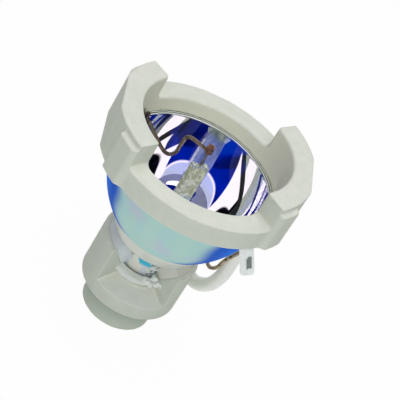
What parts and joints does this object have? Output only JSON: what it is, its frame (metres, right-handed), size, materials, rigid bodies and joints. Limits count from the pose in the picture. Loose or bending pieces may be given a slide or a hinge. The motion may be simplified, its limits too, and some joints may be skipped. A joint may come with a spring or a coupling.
{
  "type": "reflector lamp",
  "caption": "Discharge lamp with a quartz burner in a coated glass reflector, a lugged ceramic front ring and a round ceramic rear holder.",
  "frame": {"origin": "centre of the rear holder's flat rear face", "axes": "+Z along the optical axis, the way the light leaves; +X through the middle of the front ring's lug beside the two terminals"},
  "size_m": [0.0618, 0.064, 0.0769],
  "materials": {
    "front_ring": "matt glazeless",
    "reflector": "dichroic coated",
    "base_holder": "matt glazeless",
    "cement": "dry cement",
    "quartz": "clear",
    "tungsten": "drawn",
    "foil": "bright",
    "pin": "drawn",
    "copper_sleeve": "crimped",
    "brown_lead": "stranded",
    "lead_core": "stranded",
    "white_sleeve": "matt",
    "plated_steel": "tin plated"
  },
  "bodies": {
    "root": {"arc_tube": "quartz", "base_holder": "base_holder", "far_rivet": "plated_steel", "far_terminal": "plated_steel", "front_electrode": "tungsten", "front_foil": "foil", "front_lead": "brown_lead", "front_lead_tail": "brown_lead", "front_pin": "pin", "front_ring": "front_ring", "near_rivet": "plated_steel", "near_terminal": "plated_steel", "neck_cement_left": "cement", "neck_cement_right": "cement", "rear_crimp": "plated_steel", "rear_electrode": "tungsten", "rear_foil": "foil", "rear_lead_core": "lead_core", "rear_lead_sleeve": "white_sleeve", "rear_pin": "pin", "reflector": "reflector", "rim_clip": "plated_steel", "ring_cement": "cement", "seal_plug": "cement", "weld_sleeve": "copper_sleeve"}
  },
  "joints": []
}
